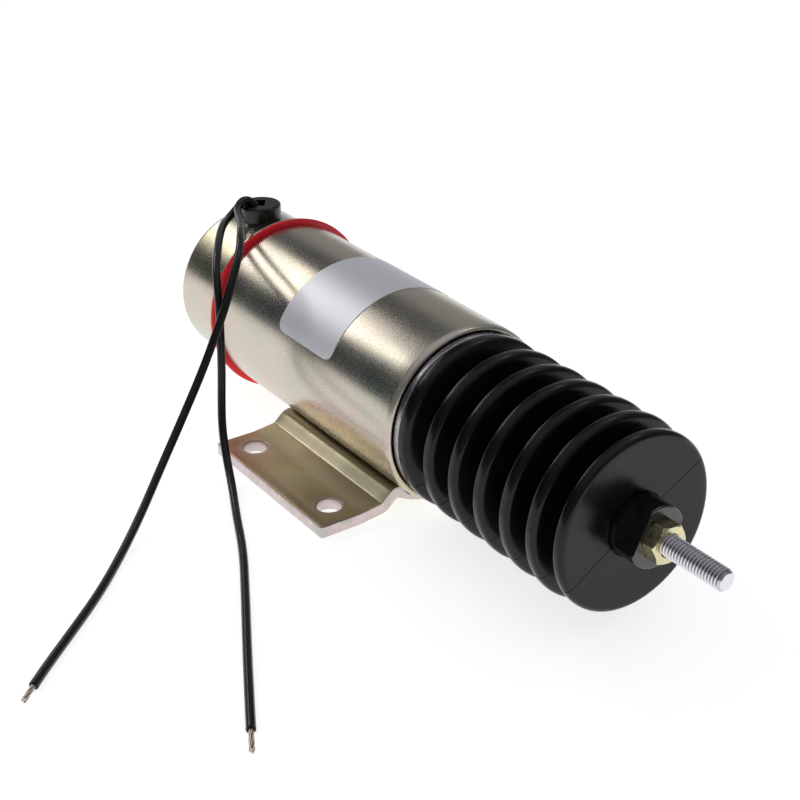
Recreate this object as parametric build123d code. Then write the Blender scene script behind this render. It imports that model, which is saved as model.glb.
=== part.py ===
from build123d import *
import math
import os

# Fuel shutoff solenoid, pull type, with a rubber boot and two flying leads.
# Millimetres. +X runs along the solenoid's axis towards the pull stud, +Z up.
# The origin is the centre of the four-hole pattern, on the bracket's underside.
# It is drawn at rest, with the plunger out.

# ---------------------------------------------------------------- dimensions
AXIS_Z = 30.8            # height of the solenoid's axis over the mounting face

# housing tube
TUBE_R = 27.0            # 54 mm body
TUBE_BORE_R = 24.6
TUBE_X0, TUBE_X1 = -54.6, 40.7
RIM_BORE_R = 25.75       # counterbore that takes the front plate
RIM_X0 = 36.2

# bracket
SHEET = 3.8              # 9 gauge
BRACKET_HALF_L = 30.1
BRACKET_HALF_W = 42.5
HOLE_R = 3.75
HOLE_DX, HOLE_DY = 21.0, 34.0    # 42 x 68 mm pattern
SADDLE_R = 27.0
CROWN_DEG = 30.5         # where the sheet's crown meets the tube, from straight down
CROWN_R = 3.0            # sheet centre line
RISER_DEG = 42.0
BEND_R = 3.4             # sheet centre line
LIFT_Y, LIFT_DEG, LIFT_R = -29.4, 6.5, 16.0    # the feet rise a little before the bend
CORNER_R = 1.0

# rear end
GASKET_R, GASKET_BORE_R = 28.8, 20.5
GASKET_X0, GASKET_X1 = -56.0, -54.6
CAP_R, CAP_WALL = 25.4, 1.2
CAP_X0 = -82.3
CAP_LIP_R, CAP_LIP = 28.4, 1.1
GROMMET_X, GROMMET_R, GROMMET_TOP = -70.8, 6.45, 60.8
SLOT_DEG = -35.0         # the slot leads out towards -Y and a little to the rear
POST_Y = 15.0

# magnetic circuit
POLE_X1 = -46.3
CORE_R, CORE_X1 = 11.0, -20.0
PIN_R, PIN_BORE_R = 1.75, 1.82
GUIDE_RO, GUIDE_RI = 11.6, 11.1
PLUNGER_R = 11.04
PLUNGER_X0, PLUNGER_X1 = -2.3, 62.0
STROKE = 25.4
NOSE_L = 8.0
NOSE_R0, NOSE_R1 = 4.0, 9.2
CONE_GAP = 0.4

# coil
SPOOL_X0, SPOOL_X1 = -46.0, 36.0
SPOOL_RI, SPOOL_RO, SPOOL_FLANGE_R, SPOOL_FLANGE = 11.7, 13.2, 24.2, 2.5

# front end
PLATE_R, PLATE_X1 = 25.3, 42.95
BOSS_R, BOSS_GROOVE_R, BOSS_X1 = 20.0, 19.2, 47.4
ROD_R, ROD_X1 = 7.0, 98.0
HUB_R, HUB_X1 = 8.64, 118.2
FLAT_X0, FLAT_HALF, FLAT_DEG = 112.1, 6.06, -63.6   # flats: angle from +Z towards +Y
STUD_R, STUD_X0, STUD_X1 = 3.0, 102.9, 141.5        # M6
STUD_HELD_R, STUD_FREE_X0 = 2.5, 122.7
NUT_AF, NUT_T, NUT_DEG = 10.0, 4.2, -22.0

# boot
CRESTS = [45.2, 56.7, 67.6, 78.4, 89.1, 99.5, 108.8]
CREST_R, LAST_CREST_R, VALLEY_R = 25.9, 25.0, 17.2
BOOT_WALL = 1.6
BOOT_X0 = 43.15

# return spring
SPRING_WIRE, SPRING_R = 1.8, 13.3
SPRING_X0, SPRING_X1 = 47.5, 96.1

# label
LABEL_X0, LABEL_X1, LABEL_DEG, LABEL_T = -20.3, 8.2, 66.5, 0.14

# leads
LEAD_R = 1.25
STRAND_R = 0.8


# ------------------------------------------------------------------- helpers
def cyl_x(r, x0, x1, y=0.0, z=AXIS_Z):
    return Pos(x0, y, z) * Rot(0, 90, 0) * Cylinder(
        r, x1 - x0, align=(Align.CENTER, Align.CENTER, Align.MIN))


def ring_x(ro, ri, x0, x1, y=0.0, z=AXIS_Z):
    return cyl_x(ro, x0, x1, y, z) - cyl_x(ri, x0 - 1, x1 + 1, y, z)


def turned(points, rounds=()):
    """Solid of revolution about the solenoid's axis from (x, r) points.
    rounds: (index, radius) of the corners to round."""
    pts = [Vector(x, 0, AXIS_Z + r) for x, r in points]
    face = Face(Wire.make_polygon(pts, close=True))
    by_r = {}
    for i, r in rounds:
        by_r.setdefault(r, []).append(pts[i])
    for r, places in by_r.items():
        found = [v for v in face.vertices()
                 if any((Vector(*v) - p).length < 1e-4 for p in places)]
        face = face.fillet_2d(r, found)
    return revolve(face, axis=Axis((0, 0, AXIS_Z), (1, 0, 0)))


def turn_x(shape, deg):
    """Turn about the solenoid's axis; positive carries +Z towards +Y."""
    return Pos(0, 0, AXIS_Z) * Rot(-deg, 0, 0) * Pos(0, 0, -AXIS_Z) * shape


def polar(r, deg, x=0.0):
    a = math.radians(deg)
    return (x, r * math.sin(a), AXIS_Z + r * math.cos(a))


def coil(r, wire, x0, x1, turns):
    pitch = (x1 - x0 - wire) / turns
    path = Helix(pitch, x1 - x0 - wire, r)
    section = Plane(origin=path @ 0, z_dir=path % 0) * Circle(wire / 2)
    body = sweep(section, path=path, is_frenet=True)
    return Pos(x0 + wire / 2, 0, AXIS_Z) * Rot(0, 90, 0) * body


parts = {}

# ------------------------------------------------------------- housing, feet
parts["housing_tube"] = turned(
    [(TUBE_X0, TUBE_BORE_R), (TUBE_X0, TUBE_R), (TUBE_X1 - 1.7, TUBE_R), (TUBE_X1 - 0.4, TUBE_R - 0.42),
     (TUBE_X1, TUBE_R - 0.95), (TUBE_X1, RIM_BORE_R), (RIM_X0, RIM_BORE_R), (RIM_X0, TUBE_BORE_R)],
    [(1, 0.4), (2, 2.0), (3, 0.8)])


def bracket_half():
    """Outline of the left half of the bent sheet in the YZ plane."""
    t = SHEET / 2
    a, b = math.radians(CROWN_DEG), math.radians(RISER_DEG)
    rs = SADDLE_R + t
    cc = (-(rs + CROWN_R) * math.sin(a), AXIS_Z - (rs + CROWN_R) * math.cos(a))
    # crown to riser tangent point, then where the riser meets the foot's line
    tp = (cc[0] - CROWN_R * math.sin(b), cc[1] + CROWN_R * math.cos(b))
    b1 = math.radians(LIFT_DEG)
    m1, m2 = math.tan(b1), math.tan(b)
    ky = (tp[1] - tp[0] * m2 - t + LIFT_Y * m1) / (m1 - m2)
    kz = t + (ky - LIFT_Y) * m1
    tl = BEND_R * math.tan((b - b1) / 2)
    # centres of the bend and of the foot's gentle lift
    bc = (ky - tl * math.cos(b1) - BEND_R * math.sin(b1), kz - tl * math.sin(b1) + BEND_R * math.cos(b1))
    lc = (LIFT_Y - LIFT_R * math.tan(b1 / 2), t + LIFT_R)

    def on(c, r, ang):
        return (c[0] + r * math.sin(ang), c[1] - r * math.cos(ang))

    def pt(p):
        return Vector(0, p[0], p[1])

    o = (0.0, AXIS_Z)
    edges = []
    # top side, from the free edge in to the middle
    flat_top = (lc[0], SHEET)
    edges.append(Line(pt((-BRACKET_HALF_W, SHEET)), pt(flat_top)))
    l1 = on(lc, LIFT_R - t, b1)
    edges.append(ThreePointArc(pt(flat_top), pt(on(lc, LIFT_R - t, b1 / 2)), pt(l1)))
    e0 = on(bc, BEND_R - t, b1)
    edges.append(Line(pt(l1), pt(e0)))
    e1 = on(bc, BEND_R - t, b)
    edges.append(ThreePointArc(pt(e0), pt(on(bc, BEND_R - t, (b + b1) / 2)), pt(e1)))
    e2 = (cc[0] - (CROWN_R + t) * math.sin(b), cc[1] + (CROWN_R + t) * math.cos(b))
    edges.append(Line(pt(e1), pt(e2)))
    e3 = (cc[0] + (CROWN_R + t) * math.sin(a), cc[1] + (CROWN_R + t) * math.cos(a))
    m = (a - b) / 2
    edges.append(ThreePointArc(
        pt(e2), pt((cc[0] + (CROWN_R + t) * math.sin(m), cc[1] + (CROWN_R + t) * math.cos(m))), pt(e3)))
    e4 = on(o, SADDLE_R, 0)
    edges.append(ThreePointArc(pt(e3), pt(on(o, SADDLE_R, -a / 2)), pt(e4)))
    # underside, back out to the free edge
    f4 = on(o, SADDLE_R + SHEET, 0)
    edges.append(Line(pt(e4), pt(f4)))
    f3 = (cc[0] + (CROWN_R - t) * math.sin(a), cc[1] + (CROWN_R - t) * math.cos(a))
    edges.append(ThreePointArc(pt(f4), pt(on(o, SADDLE_R + SHEET, -a / 2)), pt(f3)))
    f2 = (cc[0] - (CROWN_R - t) * math.sin(b), cc[1] + (CROWN_R - t) * math.cos(b))
    edges.append(ThreePointArc(
        pt(f3), pt((cc[0] + (CROWN_R - t) * math.sin(m), cc[1] + (CROWN_R - t) * math.cos(m))), pt(f2)))
    f1 = on(bc, BEND_R + t, b)
    edges.append(Line(pt(f2), pt(f1)))
    f0 = on(bc, BEND_R + t, b1)
    edges.append(ThreePointArc(pt(f1), pt(on(bc, BEND_R + t, (b + b1) / 2)), pt(f0)))
    g1 = on(lc, LIFT_R + t, b1)
    edges.append(Line(pt(f0), pt(g1)))
    flat_bot = (lc[0], 0.0)
    edges.append(ThreePointArc(pt(g1), pt(on(lc, LIFT_R + t, b1 / 2)), pt(flat_bot)))
    edges.append(Line(pt(flat_bot), pt((-BRACKET_HALF_W, 0))))
    edges.append(Line(pt((-BRACKET_HALF_W, 0)), pt((-BRACKET_HALF_W, SHEET))))
    face = Face(Wire([e for e in edges]))
    solid = extrude(face, amount=BRACKET_HALF_L, dir=(1, 0, 0), both=True)
    return solid


half = bracket_half()
bracket = half + mirror(half, about=Plane.XZ)
upright = [e for e in bracket.edges()
           if abs(abs(e.center().X) - BRACKET_HALF_L) < 0.01
           and abs(abs(e.center().Y) - BRACKET_HALF_W) < 0.01 and abs(e.length - SHEET) < 0.01]
bracket = fillet(upright, CORNER_R)
for sx in (-1, 1):
    for sy in (-1, 1):
        bracket -= Pos(sx * HOLE_DX, sy * HOLE_DY, SHEET / 2) * Cylinder(HOLE_R, SHEET * 2)
parts["mounting_bracket"] = bracket

# weld beads round the saddle's ends, under the tube
beads = []
tube_solid = cyl_x(TUBE_R + 0.005, TUBE_X0, TUBE_X1)
for sx in (-1, 1):
    for a0, a1 in ((-27, -6), (6, 27)):
        p = [Vector(*polar(TUBE_R + 0.75, 180 + a, sx * (BRACKET_HALF_L + 0.5)))
             for a in (a0, (a0 + a1) / 2, a1)]
        path = ThreePointArc(*p)
        bead = sweep(Plane(origin=path @ 0, z_dir=path % 0) * Circle(1.25), path=path)
        bead = bead - tube_solid - bracket
        beads.append(bead.solids().sort_by(SortBy.VOLUME)[-1])
parts["saddle_welds"] = Compound(beads)

# ------------------------------------------------------------------ rear end
cap = turned(
    [(CAP_X0, 0), (CAP_X0, CAP_R), (GASKET_X0 - CAP_LIP, CAP_R),
     (GASKET_X0 - CAP_LIP, CAP_LIP_R), (GASKET_X0, CAP_LIP_R),
     (GASKET_X0, CAP_R - CAP_WALL), (CAP_X0 + CAP_WALL, CAP_R - CAP_WALL), (CAP_X0 + CAP_WALL, 0)],
    [(1, 2.2), (6, 1.0), (2, 0.9), (3, 0.45), (4, 0.45), (5, 0.9)])
cap -= Pos(GROMMET_X, 0, AXIS_Z + CAP_R) * Cylinder(5.0, 12)
for s in (-1, 1):
    cap -= cyl_x(2.2, CAP_X0 - 1, CAP_X0 + 3, s * POST_Y)
parts["rear_cap"] = cap

parts["rear_gasket"] = turned(
    [(GASKET_X0, GASKET_BORE_R), (GASKET_X0, GASKET_R), (GASKET_X1, GASKET_R), (GASKET_X1, GASKET_BORE_R)],
    [(1, 0.6), (2, 0.6)])

# rubber grommet: saddle-seated head, neck through the cap, lip inside, slot for the leads
head = Pos(GROMMET_X, 0, AXIS_Z + 15) * Cylinder(
    GROMMET_R, GROMMET_TOP - AXIS_Z - 15, align=(Align.CENTER, Align.CENTER, Align.MIN))
head = fillet(head.edges().group_by(Axis.Z)[-1], 0.7)
head -= cyl_x(CAP_R + 0.03, CAP_X0, GASKET_X0)
neck = Pos(GROMMET_X, 0, AXIS_Z + 21.5) * Cylinder(
    4.95, 6.5, align=(Align.CENTER, Align.CENTER, Align.MIN))
lip = Pos(GROMMET_X, 0, AXIS_Z + 18.0) * Cylinder(
    6.0, 10, align=(Align.CENTER, Align.CENTER, Align.MIN)) & ring_x(
    CAP_R - CAP_WALL - 0.05, CAP_R - CAP_WALL - 2.2, CAP_X0 + 1, GASKET_X0 - 1)
grommet = head + neck + lip
slot = Pos(GROMMET_X + 0.3, 0.7, 0) * Rot(0, 0, SLOT_DEG)
grommet -= slot * Pos(0, -2.0, GROMMET_TOP) * Box(5.4, 5.2, 11.0)
grommet -= slot * Pos(0, -1.9, AXIS_Z + 20) * Box(5.2, 2.8, 10)
# throat that lets the leads out over the rim
grommet -= slot * Pos(0, -6.2, GROMMET_TOP) * Box(5.4, 6.4, 2.0)
parts["lead_grommet"] = grommet

# cap posts and screws
posts, screws = [], []
for s in (-1, 1):
    y = s * POST_Y
    post = cyl_x(3.2, CAP_X0 + CAP_WALL + 0.05, TUBE_X0 - 0.05, y) - cyl_x(1.95, CAP_X0, -68.0, y)
    posts.append(post)
    shank = cyl_x(1.93, CAP_X0 - 0.05, -70.0, y)
    pan = cyl_x(3.9, CAP_X0 - 2.6, CAP_X0 - 0.05, y)
    pan = fillet(pan.edges().group_by(Axis.X)[0], 1.1)
    drive = Pos(CAP_X0 - 2.6, y, AXIS_Z) * (Box(2.6, 4.4, 0.95) + Box(2.6, 0.95, 4.4))
    screws.append((pan + shank - drive).solid())
parts["cap_posts"] = Compound([p.solid() for p in posts])
parts["cap_screws"] = Compound(screws)

# ---------------------------------------------------------- magnetic circuit
pole = turned(
    [(TUBE_X0, PIN_BORE_R), (TUBE_X0, 24.5), (POLE_X1, 24.5), (POLE_X1, CORE_R),
     (CORE_X1, CORE_R), (CORE_X1, NOSE_R1 + CONE_GAP), (CORE_X1 - NOSE_L, NOSE_R0 + CONE_GAP),
     (CORE_X1 - NOSE_L, PIN_BORE_R)])
parts["rear_pole_piece"] = pole

parts["guide_tube"] = ring_x(GUIDE_RO, GUIDE_RI, -44.0, BOSS_X1 - 0.6)

parts["coil_spool"] = turned(
    [(SPOOL_X0, SPOOL_RI), (SPOOL_X0, SPOOL_FLANGE_R), (SPOOL_X0 + SPOOL_FLANGE, SPOOL_FLANGE_R),
     (SPOOL_X0 + SPOOL_FLANGE, SPOOL_RO), (SPOOL_X1 - SPOOL_FLANGE, SPOOL_RO),
     (SPOOL_X1 - SPOOL_FLANGE, SPOOL_FLANGE_R), (SPOOL_X1, SPOOL_FLANGE_R), (SPOOL_X1, SPOOL_RI)])
wx0, wx1 = SPOOL_X0 + SPOOL_FLANGE + 0.3, SPOOL_X1 - SPOOL_FLANGE - 0.3
parts["pull_in_coil"] = ring_x(18.4, SPOOL_RO + 0.1, wx0, wx1)
parts["hold_in_coil"] = ring_x(22.6, 18.5, wx0, wx1)
parts["coil_wrap"] = ring_x(23.6, 22.7, wx0 + 0.4, wx1 - 0.4)

plunger = turned(
    [(PLUNGER_X0, 0), (PLUNGER_X0, NOSE_R0), (PLUNGER_X0 + NOSE_L, NOSE_R1),
     (PLUNGER_X0 + NOSE_L, PLUNGER_R), (PLUNGER_X1, PLUNGER_R), (PLUNGER_X1, 4.0),
     (50.0, 4.0), (50.0, 0)],
    [(4, 0.6)])
parts["plunger"] = plunger

# ----------------------------------------------------------------- front end
parts["front_end_plate"] = turned(
    [(RIM_X0 + 0.05, GUIDE_RO + 0.08), (RIM_X0 + 0.05, PLATE_R), (PLATE_X1, PLATE_R),
     (PLATE_X1, BOSS_GROOVE_R), (46.4, BOSS_GROOVE_R), (46.4, BOSS_R), (BOSS_X1, BOSS_R),
     (BOSS_X1, GUIDE_RO + 0.08)],
    [(2, 0.5), (5, 0.3), (6, 0.6)])

rod = turned(
    [(50.3, 0), (50.3, 3.98), (PLUNGER_X1 + 0.02, 3.98), (PLUNGER_X1 + 0.02, ROD_R),
     (ROD_X1, ROD_R), (ROD_X1, HUB_R), (105.6, HUB_R), (105.6, 7.6), (109.4, 7.6), (109.4, HUB_R),
     (HUB_X1, HUB_R), (HUB_X1, STUD_HELD_R + 0.01), (STUD_X0 - 0.2, STUD_HELD_R + 0.01), (STUD_X0 - 0.2, 0)],
    [(10, 0.5)])
for s in (0, 180):
    cut = Pos((FLAT_X0 + HUB_X1 + 1) / 2, 0, AXIS_Z + FLAT_HALF + 5) * Box(HUB_X1 + 1 - FLAT_X0, 30, 10)
    rod -= turn_x(cut, FLAT_DEG + s)
parts["plunger_rod"] = rod

stud = cyl_x(STUD_R, STUD_FREE_X0, STUD_X1)
stud = chamfer(stud.edges().group_by(Axis.X)[-1], 0.75)
# held inside the hub and the nut; the free end that a linkage takes starts past the nut
stud += cyl_x(STUD_HELD_R, STUD_X0, STUD_FREE_X0)
parts["pull_stud"] = stud

nut = Pos(HUB_X1 + 0.02, 0, AXIS_Z) * Rot(0, 90, 0) * extrude(
    RegularPolygon(NUT_AF / 2, 6, major_radius=False), NUT_T)
cone = turned([(HUB_X1 - 1, 0), (HUB_X1 - 1, 5.2), (HUB_X1 + 0.02, 5.2), (HUB_X1 + 0.6, 6.2),
               (HUB_X1 + NUT_T - 0.55, 6.2), (HUB_X1 + NUT_T + 0.02, 5.15), (HUB_X1 + NUT_T + 1, 5.15),
               (HUB_X1 + NUT_T + 1, 0)])
nut = nut & cone
nut = nut - cyl_x(STUD_HELD_R + 0.01, HUB_X1 - 1, HUB_X1 + NUT_T + 1)
flat_vertex = max(nut.vertices(), key=lambda v: math.hypot(v.Y, v.Z - AXIS_Z))
have = math.degrees(math.atan2(flat_vertex.Y, flat_vertex.Z - AXIS_Z))
parts["jam_nut"] = turn_x(nut, NUT_DEG - have)

parts["spring_seat"] = ring_x(14.3, ROD_R + 0.05, 96.2, ROD_X1 - 0.02)
parts["return_spring"] = coil(SPRING_R, SPRING_WIRE, SPRING_X0, SPRING_X1, 8.5)


# ----------------------------------------------------------------- the boot
def boot_profile():
    outer, rounds = [], []

    def add(x, r, fr=0.0):
        outer.append((x, r))
        if fr:
            rounds.append((len(outer) - 1, fr))

    valleys = [(a + b) / 2 for a, b in zip(CRESTS, CRESTS[1:])]
    depth = [19.0] + [VALLEY_R] * (len(valleys) - 1)
    last = len(CRESTS) - 1
    # rear bead and the outside, rear to front
    add(BOOT_X0, 19.4, 0.2)
    for i, xc in enumerate(CRESTS):
        top = CREST_R if i < last else LAST_CREST_R
        add(xc - 1.35 if i else BOOT_X0, top, 1.3)
        add(xc + 1.9, top, 1.6)
        if i < last:
            add(valleys[i] - 1.2, depth[i], 1.0)
            add(valleys[i] + 1.2, depth[i], 1.0)
    # front face, dished a little, down to the rod
    add(110.2, 12.5)
    add(110.2, HUB_R + 0.25, 0.3)
    add(109.1, HUB_R + 0.25)
    add(109.1, 7.95)
    add(105.9, 7.95)
    add(105.9, 11.2, 0.6)
    add(108.3, 13.0, 0.6)
    # inside, front to rear
    add(108.8, 23.4)
    add(CRESTS[last] - 0.6, 23.4)
    for i in range(last - 1, -1, -1):
        add(valleys[i] + 2.45, depth[i] - BOOT_WALL, 0.5)
        add(valleys[i] - 2.45, depth[i] - BOOT_WALL, 0.5)
        add(CRESTS[i] + 0.75, CREST_R - BOOT_WALL, 0.35)
        if i:
            add(CRESTS[i] - 0.7, CREST_R - BOOT_WALL, 0.35)
    add(45.2, CREST_R - BOOT_WALL)
    add(45.2, 21.6, 0.3)
    add(46.2, 21.6)
    add(46.2, 19.4, 0.2)
    return outer, rounds


pts, rnds = boot_profile()
parts["rubber_boot"] = turned(pts, rnds)

# --------------------------------------------------------- switch in the cap
base = cyl_x(19.5, -57.4, TUBE_X0 - 0.05)
for s in (-1, 1):
    base -= cyl_x(3.25, -60, -50, s * POST_Y)
base -= cyl_x(2.6, -60, -50)
parts["switch_base"] = base

fixed = []
for s in (-1, 1):
    arm = Pos(-58.2, 0, AXIS_Z + s * 9.0) * Box(1.4, 6.0, 9.0)
    tip = cyl_x(2.2, -60.3, -58.7, 0, AXIS_Z + s * 6.8)
    fixed.append((arm + tip).solid())
parts["fixed_contacts"] = Compound(fixed)

moving = Pos(-61.35, 0, AXIS_Z) * Box(1.2, 6.0, 20.0)
for s in (-1, 1):
    moving += cyl_x(2.0, -61.0, -60.4, 0, AXIS_Z + s * 6.8)
moving -= cyl_x(PIN_R + 0.02, -66, -55)
parts["moving_contact"] = moving

pin = cyl_x(PIN_R, -72.0, -26.3) + cyl_x(3.6, -60.7, -60.0)
parts["switch_pin"] = pin
spring_cup = ring_x(4.6, 3.95, -79.5, -72.6) + cyl_x(4.6, CAP_X0 + CAP_WALL + 0.05, -79.5)
parts["spring_cup"] = spring_cup
parts["switch_spring"] = coil(2.8, 0.6, -79.4, -62.05, 11)

lugs = []
for s in (-1, 1):
    lug = Pos(-59.3, s * 5.6, AXIS_Z + 12.2) * Box(0.8, 9.0, 3.6)
    barrel = Pos(-62.8, s * 9.1, AXIS_Z + 12.2) * Rot(0, 90, 0) * (Cylinder(1.9, 6.4) - Cylinder(1.3, 8.0))
    lugs.append((lug + barrel).solid())
parts["lead_lugs"] = Compound(lugs)

# ------------------------------------------------------------------- the label
lab = ring_x(TUBE_R + 0.02 + LABEL_T, TUBE_R + 0.02, LABEL_X0, LABEL_X1)
wedge = Face(Wire.make_polygon(
    [Vector(LABEL_X0 - 1, 0, AXIS_Z)] + [Vector(LABEL_X0 - 1, *polar(60, a)[1:])
     for a in (-LABEL_DEG, -LABEL_DEG / 2, 0, LABEL_DEG / 2, LABEL_DEG)], close=True))
lab = lab & extrude(wedge, amount=LABEL_X1 - LABEL_X0 + 2, dir=(1, 0, 0))
rc = 3.2
for sx, x in ((-1, LABEL_X0), (1, LABEL_X1)):
    for s in (-1, 1):
        reach = math.degrees(rc / TUBE_R)
        quad = Pos(x - sx * rc / 2, 0, TUBE_R) * Box(rc + 0.02, 2 * rc, 4)
        tool = Pos(x - sx * rc / 2 + sx * 0.5, s * rc / 2 + s * 0.5, TUBE_R) * Box(rc + 1, rc + 1, 4) \
            - Pos(x - sx * rc, 0, TUBE_R) * Cylinder(rc, 6)
        tool = Pos(0, 0, AXIS_Z) * tool
        lab -= turn_x(tool, s * (LABEL_DEG - reach))
parts["rating_label"] = lab


# ------------------------------------------------------------------- the leads
def lead(route):
    pts = [Vector(*p) for p in route]
    radii = []
    for a, b, c in zip(pts, pts[1:], pts[2:]):
        u, v = b - a, c - b
        turn = math.acos(max(-1, min(1, u.dot(v) / (u.length * v.length))))
        radii.append(0.45 * min(u.length, v.length) / math.tan(turn / 2))
    print("lead radii", [round(r, 1) for r in radii], "runs",
          [round((b - a).length, 1) for a, b in zip(pts, pts[1:])])
    path = FilletPolyline(*pts, radius=radii)
    tube = sweep(Plane(origin=path @ 0, z_dir=path % 0) * Circle(LEAD_R), path=path,
                 transition=Transition.RIGHT)
    print("lead length", round(path.length, 1), "volume", round(tube.volume, 1),
          "expected", round(math.pi * LEAD_R ** 2 * path.length, 1),
          "lowest", round(tube.bounding_box().min.Z, 3))
    end = path @ 1
    along = path % 1
    return tube, end, along


LEAD_A = [
    (-70.1, -1.0, 57.4), (-70.9, -2.7, 61.8), (-71.8, -5.6, 63.0), (-70.1, -9.0, 61.8), (-64.6, -11.9, 61.4),
    (-53.3, -17.1, 62.8), (-42.5, -23.4, 64.3), (-35.5, -27.7, 63.2), (-31.1, -31.5, 60.5), (-28.5, -35.0, 55.8),
    (-26.6, -38.5, 49.9), (-25.7, -42.7, 42.3), (-23.8, -48.8, 32.9), (-20.0, -57.8, 22.5), (-13.2, -69.5, 12.1),
    (-4.3, -80.9, 4.8), (6.4, -92.5, 1.32), (19.9, -105.3, 1.30), (31.8, -118.6, 1.30), (42.2, -130.5, 1.30),
    (46.7, -135.2, 1.30)]
LEAD_B = [
    (-72.2, 0.4, 57.0), (-73.7, -1.8, 61.1), (-74.3, -4.6, 61.9), (-72.6, -8.6, 59.5), (-69.2, -13.2, 58.8),
    (-62.3, -18.9, 60.0), (-52.7, -25.4, 60.4), (-42.7, -31.6, 60.0), (-36.3, -35.7, 58.2), (-32.0, -37.8, 54.6),
    (-29.6, -38.9, 48.7), (-27.7, -40.1, 41.2), (-26.0, -41.2, 31.7), (-24.5, -42.7, 22.3), (-21.8, -44.6, 13.9),
    (-16.3, -46.7, 6.8), (-5.9, -50.7, 2.5), (6.8, -56.6, 1.32), (24.1, -64.2, 1.30), (41.4, -73.5, 1.30),
    (60.0, -83.7, 1.30), (77.7, -93.3, 1.30), (91.2, -100.5, 1.30)]

for name, route, ends in (("lead_a", LEAD_A, 6.2), ("lead_b", LEAD_B, 8.0)):
    tube, end, along = lead(route)
    parts[name] = tube
    flat = Vector(along.X, along.Y, 0).normalized()
    base_at = Vector(end.X, end.Y, 1.3) + flat * 0.02
    parts[name + "_strands"] = extrude(
        Plane(origin=base_at, z_dir=flat) * Circle(STRAND_R), amount=ends)

# -------------------------------------------------------------------- export
os.makedirs("parts", exist_ok=True)
for name, shape in parts.items():
    solids = shape.solids()
    out = solids[0] if len(solids) == 1 else Compound(list(solids))
    out.label = name
    export_step(out, "parts/%s.step" % name)
    bb = out.bounding_box()
    print("%-18s solids %d volume %9.1f valid %s  x %.2f..%.2f y %.2f..%.2f z %.2f..%.2f" % (
        name, len(solids), sum(s.volume for s in solids), out.is_valid,
        bb.min.X, bb.max.X, bb.min.Y, bb.max.Y, bb.min.Z, bb.max.Z))
print(len(parts), "nodes")
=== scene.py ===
import math
import random

import bmesh
import bpy
import numpy as np
from mathutils import Matrix, Vector


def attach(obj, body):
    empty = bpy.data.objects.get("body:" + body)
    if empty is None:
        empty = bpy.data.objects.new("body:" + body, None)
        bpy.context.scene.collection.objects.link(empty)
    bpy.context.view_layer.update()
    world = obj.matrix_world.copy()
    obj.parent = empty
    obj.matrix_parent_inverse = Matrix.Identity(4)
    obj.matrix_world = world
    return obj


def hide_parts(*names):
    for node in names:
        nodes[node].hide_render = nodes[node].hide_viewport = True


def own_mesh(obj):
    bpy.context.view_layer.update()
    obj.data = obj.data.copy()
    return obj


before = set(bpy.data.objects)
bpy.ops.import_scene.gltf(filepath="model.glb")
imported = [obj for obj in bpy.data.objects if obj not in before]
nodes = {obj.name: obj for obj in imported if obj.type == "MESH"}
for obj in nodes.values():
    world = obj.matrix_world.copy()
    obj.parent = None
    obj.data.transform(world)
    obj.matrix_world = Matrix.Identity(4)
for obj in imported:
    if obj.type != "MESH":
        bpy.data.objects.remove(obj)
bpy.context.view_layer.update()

random.seed(7)
scene = bpy.context.scene
AXIS_Z = 30.8
MM = 0.001
MAT = {}


# =====================================================================
# camera: fitted to the photograph's view, 800 x 800
# =====================================================================
def look():
    v = Vector((1.86749674, 0.964831752, -0.585606723))
    r = Matrix.Rotation(v.length, 3, v.normalized())      # world to image: right, down, forward
    cam_data = bpy.data.cameras.new("camera")
    cam = bpy.data.objects.new("camera", cam_data)
    scene.collection.objects.link(cam)
    m = Matrix((r[0], -r[1], -r[2])).transposed().to_4x4()
    place = Vector((11.1533105 * 27 + 40.2, -8.59596778 * 27, 7.50027417 * 27 + 30.8)) * MM
    cam.matrix_world = Matrix.Translation(place) @ m
    cam_data.sensor_fit = "HORIZONTAL"
    cam_data.sensor_width = 36.0
    cam_data.lens = 1529.61355 * 36.0 / 800.0
    cam_data.shift_x = -(413.04406 - 400.0) / 800.0
    cam_data.shift_y = (398.51336 - 400.0) / 800.0
    cam_data.clip_start = 0.01
    cam_data.clip_end = 20.0
    scene.camera = cam


look()
scene.view_settings.view_transform = "Standard"
scene.view_settings.look = "None"


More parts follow.
